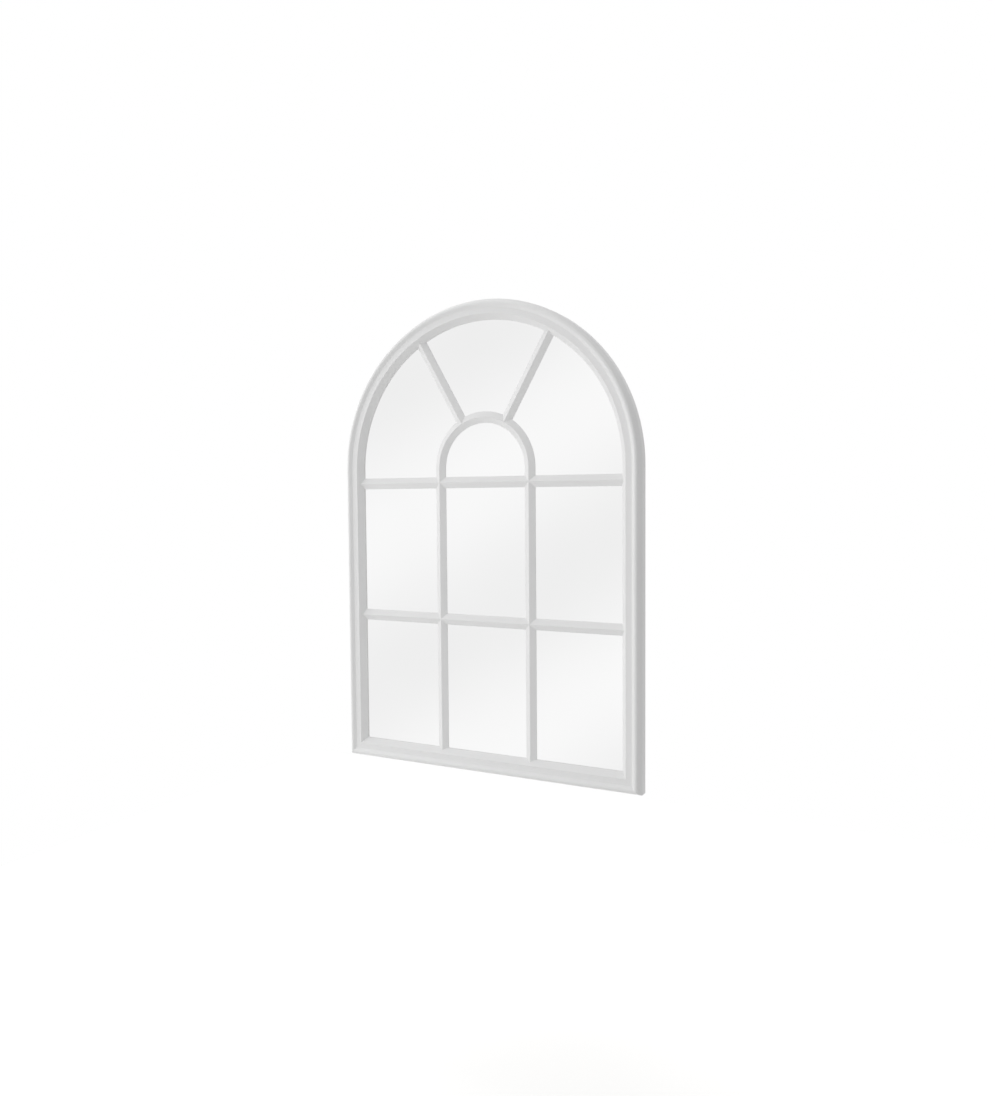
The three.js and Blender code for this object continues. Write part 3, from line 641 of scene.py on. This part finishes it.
def strapGrid(x):
    # A flat strip carried along its folded middle line, seen from the side as (behind, up): up the
    # front sheet, round the loop, through a small reverse bend and down the back sheet. Its width
    # follows a half circle near both ends, and its edges are rounded.
    h = hanger
    loop, fold, front, back = h["loopMiddle"], h["foldRound"], h["sheet"] / 2, h["sheet"] * 3 / 2
    foldX = back + fold
    foldZ = -math.sqrt((loop + fold) ** 2 - (foldX - h["loopCentre"]) ** 2)
    leave = math.degrees(math.atan2(foldZ, foldX - h["loopCentre"]))
    foot = np.linspace(-h["strapLength"], h["strapHalf"] - h["strapLength"], h["footSteps"])
    climb = np.concatenate([foot, np.linspace(foot[-1], h["frontTop"], h["runSteps"])[1:]])
    drop = np.concatenate([np.linspace(foldZ, foot[-1], h["runSteps"])[1:-1], foot[::-1]])
    path = np.concatenate([
        np.stack([np.full(len(climb), front), climb], -1),
        arcPoints((h["loopCentre"], 0), loop, 180, leave, h["bendPitch"]),
        arcPoints((foldX, foldZ), fold, leave + 180, 180, h["bendPitch"])[1:],
        np.stack([np.full(len(drop), back), drop], -1)])
    normal = pathNormals(path, closed=False)
    up = np.clip((path[:, 1] + h["strapLength"]) / h["strapHalf"], 0, 1)
    half = np.maximum(h["strapHalf"] * np.sqrt(1 - (1 - up) ** 2), h["tipHalf"])
    edge, turn = h["sheetEdge"], np.radians(h["edgeTurns"])
    sideways = edge * np.sin(turn) - edge      # a quarter round, out to the edge
    thick = edge * np.cos(turn) + front - edge
    sideways, thick = np.concatenate([sideways, sideways[::-1]]), np.concatenate([thick, -thick[::-1]])
    wide = np.concatenate([half[:, None] + sideways, -half[:, None] - sideways[::-1]], 1)
    thickness = np.concatenate([thick, thick[::-1]])
    y = path[:, :1] + normal[:, :1] * thickness
    z = path[:, 1:] + normal[:, 1:] * thickness
    return np.stack([x + wide, backY + y, h["level"] + z], -1)


def ringGrid(x):
    # A round wire along a D: pivot bar, two bent corners, two legs and a half-round bow. The D
    # leans back about its pivot bar, as it hangs at rest.
    h = hanger
    half, bend, leg = h["halfWidth"], h["bend"], h["leg"]
    straight = half - bend
    pivot = np.linspace(-straight, straight, h["barSteps"])
    down = np.linspace(-bend, -leg, h["legSteps"])
    path = np.concatenate([
        np.stack([pivot, np.zeros(len(pivot))], -1)[:-1],
        arcPoints((straight, -bend), bend, 90, 0, h["bendPitch"])[:-1],
        np.stack([np.full(len(down), half), down], -1)[:-1],
        arcPoints((0, -leg), half, 0, -180, h["bowPitch"])[:-1],
        np.stack([np.full(len(down), -half), down[::-1]], -1)[:-1],
        arcPoints((-straight, -bend), bend, 180, 90, h["bendPitch"])[:-1]])
    normal = pathNormals(path, closed=True)
    turn = np.linspace(0, 2 * math.pi, h["wireSides"], endpoint=False)
    flat = path[:, None] + normal[:, None] * (h["wire"] * np.cos(turn))[None, :, None]
    out = np.broadcast_to(h["wire"] * np.sin(turn), flat.shape[:2])
    lean = math.radians(h["lean"])
    y = out * math.cos(lean) - flat[..., 1] * math.sin(lean)
    z = out * math.sin(lean) + flat[..., 1] * math.cos(lean)
    return np.stack([x + flat[..., 0], backY + h["loopCentre"] + y, h["level"] + z], -1)


for side, name in ((-1, "left"), (1, "right")):
    x = side * (headRadius - hanger["across"])
    makePiece("hanger_strap_" + name + "_folded", strapGrid(x), steelLook, "hanger_strap_" + name,
              crease=hanger["strapCrease"])
    makePiece("hanger_ring_" + name + "_wire", ringGrid(x), steelLook, "hanger_ring_" + name,
              rides="ring_" + name, closed=True, crease=hanger["ringCrease"])
print("hangers made")


pad = {
    "radius": 7, "thickness": 5.5, "round": 1.2, "footRound": 0.25,
    "dish": 0.35, "dishRadius": 3.2, "dishMiddle": 0.15,
    "sides": 64, "roundSteps": 9, "footSteps": 4, "dishSteps": 9, "crease": 30,
}


def padGrid(x, z):
    # A turned button: foot edge, straight side, rounded shoulder, flat rim and a shallow dish
    # whose depth follows a raised cosine.
    p = pad
    shoulder = np.radians(np.linspace(0, 90, p["roundSteps"]))
    foot = np.radians(np.linspace(-90, 0, p["footSteps"]))
    dish = np.linspace(p["dishRadius"], p["dishMiddle"], p["dishSteps"])
    r = np.concatenate([p["radius"] - p["footRound"] + p["footRound"] * np.cos(foot),
                        p["radius"] - p["round"] + p["round"] * np.cos(shoulder), dish])
    out = np.concatenate([p["footRound"] + p["footRound"] * np.sin(foot),
                          p["thickness"] - p["round"] + p["round"] * np.sin(shoulder),
                          p["thickness"] - p["dish"] * (1 + np.cos(np.pi * dish / p["dishRadius"])) / 2])
    turn = np.linspace(0, 2 * math.pi, p["sides"], endpoint=False)
    wide = r[:, None]
    y = np.broadcast_to(backY + out[:, None], (len(r), len(turn)))
    return np.stack([x + wide * np.cos(turn), y, z + wide * np.sin(turn)], -1)


for node in ("wall_pad_foot_left", "wall_pad_foot_right", "wall_pad_head_left", "wall_pad_head_right"):
    makePiece(node + "_button", padGrid(*middleOf(node)), rubberLook, node, crease=pad["crease"])

# what stays as it is in CAD, out of sight in the joints
for stem, look in (("tongue_", plywoodLook), ("setting_block_", polytheneLook)):
    for node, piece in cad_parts.items():
        if node.startswith(stem):
            piece.data.materials.clear()
            piece.data.materials.append(look[0])
print("pads made, tongues and setting blocks finished")


# The studio's lengths are in metres, and so are the lamps' places and sides.
studio = {
    "floorDrop": 0.9, "floorReach": 2.6,
    "floorColour": "#F1F1F0", "floorShade": "#EFEFEE", "speckScale": 3,
    "liftUnder": 0.33, "liftEdge": 0.9, "liftFrom": 0.9, "liftTo": 2.3,
    "sky": 0.48, "aimLevel": 0.5,      # the sky that lights the object, and where the lamps look
    "bandMiddle": 0.978, "bandSwing": 0.045,      # the sky that a mirror sees
    "bandSlant": 122.65, "bandPitch": 0.25349, "bandShift": 2.1035,      # degrees, parts, radians
}
lamps = {
    "left": {"at": (-3.4, -0.9, 1.2), "side": 1.8, "watts": 29.4},
    "left_front": {"at": (-2.4, -2.6, 1.6), "side": 1.8, "watts": 33.6},
    "front_low": {"at": (0, -3.0, -0.6), "side": 1.2, "watts": 6.6},
    "right_front": {"at": (2.6, -2.6, 1.2), "side": 1.8, "watts": 3.9},
    "top": {"at": (0, -0.4, 3.6), "side": 1.8, "watts": 21},
    "rear": {"at": (1.0, 3.2, 1.8), "side": 1.8, "watts": 12},
}
plainWhite = (1, 1, 1, 1)


def studioFloor():
    # Matt white studio board. To the camera, and in a mirror, it is lifted to the white of the
    # backdrop, more so towards its edge; the light that falls on it still draws the shadow.
    material, tree = newMaterial("studio_white_board")
    place = addNode(tree, "ShaderNodeTexCoord").outputs["Object"]
    speck = addNode(tree, "ShaderNodeTexNoise", {"Scale": studio["speckScale"]}, {"Vector": place})
    colour = addNode(tree, "ShaderNodeMix",
                     {6: hexColour(studio["floorColour"]), 7: hexColour(studio["floorShade"])},
                     {0: speck.outputs["Fac"]}, data_type="RGBA")
    matt = addNode(tree, "ShaderNodeBsdfDiffuse", links={"Color": colour.outputs[2]})
    ray = addNode(tree, "ShaderNodeLightPath").outputs
    seen = addNode(tree, "ShaderNodeMath", links={0: ray["Is Camera Ray"], 1: ray["Is Glossy Ray"]},
                   operation="MAXIMUM")
    seenToo = addNode(tree, "ShaderNodeMath",
                      links={0: seen.outputs[0], 1: ray["Is Transmission Ray"]}, operation="MAXIMUM")
    away = addNode(tree, "ShaderNodeVectorMath", links={0: place}, operation="LENGTH")
    edge = addNode(tree, "ShaderNodeMapRange",
                   {"From Min": studio["liftFrom"], "From Max": studio["liftTo"],
                    "To Min": studio["liftUnder"], "To Max": studio["liftEdge"]},
                   {"Value": away.outputs["Value"]}, interpolation_type="SMOOTHSTEP")
    lift = addNode(tree, "ShaderNodeMath", links={0: seenToo.outputs[0], 1: edge.outputs[0]},
                   operation="MULTIPLY")
    glow = addNode(tree, "ShaderNodeEmission", {"Color": plainWhite}, {"Strength": lift.outputs[0]})
    both = addNode(tree, "ShaderNodeAddShader", links={0: matt.outputs[0], 1: glow.outputs[0]})
    addNode(tree, "ShaderNodeOutputMaterial", links={"Surface": both.outputs[0]})
    reach, drop = studio["floorReach"], -studio["floorDrop"]
    corners = [(-reach, -reach, drop), (reach, -reach, drop), (reach, reach, drop),
               (-reach, reach, drop)]
    mesh = bpy.data.meshes.new("studio_floor")
    mesh.from_pydata(corners, [], [(0, 1, 2, 3)])
    mesh.materials.append(material)
    floor = bpy.data.objects.new("studio_floor", mesh)
    bpy.context.scene.collection.objects.link(floor)


def studioWorld():
    # An even white sky. A mirror sees it with soft slanting bands: its strength there is a middle
    # less a swing times the sine of the direction's part along the slant, in turns of the pitch.
    world = bpy.data.worlds.new("white_studio")
    bpy.context.scene.world = world
    world.use_nodes = True
    tree = world.node_tree
    tree.nodes.clear()
    ray = addNode(tree, "ShaderNodeLightPath").outputs
    direction = addNode(tree, "ShaderNodeTexCoord").outputs["Generated"]
    slant, turns = math.radians(studio["bandSlant"]), 2 * math.pi / studio["bandPitch"]
    along = addNode(tree, "ShaderNodeVectorMath",
                    {1: (math.cos(slant) * turns, 0, math.sin(slant) * turns)}, {0: direction},
                    operation="DOT_PRODUCT")
    shifted = addNode(tree, "ShaderNodeMath", {1: studio["bandShift"]}, {0: along.outputs["Value"]},
                      operation="SUBTRACT")
    sine = addNode(tree, "ShaderNodeMath", links={0: shifted.outputs[0]}, operation="SINE")
    banded = addNode(tree, "ShaderNodeMath", {1: -studio["bandSwing"], 2: studio["bandMiddle"]},
                     {0: sine.outputs[0]}, operation="MULTIPLY_ADD")
    mirrored = addNode(tree, "ShaderNodeMath",
                       links={0: ray["Is Glossy Ray"], 1: ray["Is Transmission Ray"]},
                       operation="MAXIMUM")
    # on a number Mix node the factor is socket 0 and the two values are 2 and 3
    unseen = addNode(tree, "ShaderNodeMix", {2: studio["sky"]},
                     {0: mirrored.outputs[0], 3: banded.outputs[0]})
    strength = addNode(tree, "ShaderNodeMix", {3: 1}, {0: ray["Is Camera Ray"], 2: unseen.outputs[0]})
    sky = addNode(tree, "ShaderNodeBackground", {"Color": plainWhite},
                  {"Strength": strength.outputs[0]})
    addNode(tree, "ShaderNodeOutputWorld", links={"Surface": sky.outputs[0]})


def studioLamps():
    # every lamp looks at the middle of the mirror, which itself sees the even sky and no lamp
    for name, lamp in lamps.items():
        light = bpy.data.lights.new(name, "AREA")
        light.size, light.energy = lamp["side"], lamp["watts"]
        holder = bpy.data.objects.new(name, light)
        bpy.context.scene.collection.objects.link(holder)
        holder.location = lamp["at"]
        aim = Vector((0, 0, studio["aimLevel"])) - Vector(lamp["at"])
        holder.rotation_euler = aim.to_track_quat("-Z", "Y").to_euler()
        holder.visible_glossy = False
        holder.visible_camera = False


camera = {
    "place": (0.9519, -1.74575, 0.5886), "near": 0.05, "far": 100,      # metres
    "yaw": 0.486, "pitch": -0.054, "roll": -0.008,                      # radians
    "focalPixels": 940.9, "pixelsHigh": 1096, "sensor": 36,
}


def photoCamera():
    # Looks along a direction turned by yaw about Z and tipped by pitch, then rolled about it.
    yaw, pitch, roll = camera["yaw"], camera["pitch"], camera["roll"]
    ahead = Vector((-math.sin(yaw) * math.cos(pitch), math.cos(yaw) * math.cos(pitch),
                    math.sin(pitch)))
    level = ahead.cross(Vector((0, 0, 1))).normalized()
    upright = level.cross(ahead)
    right = level * math.cos(roll) + upright * math.sin(roll)
    up = upright * math.cos(roll) - level * math.sin(roll)
    lens = bpy.data.cameras.new("photo_camera")
    lens.sensor_width = camera["sensor"]
    lens.lens = camera["focalPixels"] * camera["sensor"] / camera["pixelsHigh"]
    lens.clip_start, lens.clip_end = camera["near"], camera["far"]
    holder = bpy.data.objects.new("photo_camera", lens)
    bpy.context.scene.collection.objects.link(holder)
    axes = Matrix((right, up, -ahead)).transposed().to_4x4()
    holder.matrix_world = Matrix.Translation(camera["place"]) @ axes
    bpy.context.scene.camera = holder


studioFloor()
studioWorld()
studioLamps()
photoCamera()
bpy.context.scene.view_settings.view_transform = "Standard"
print("studio set up")
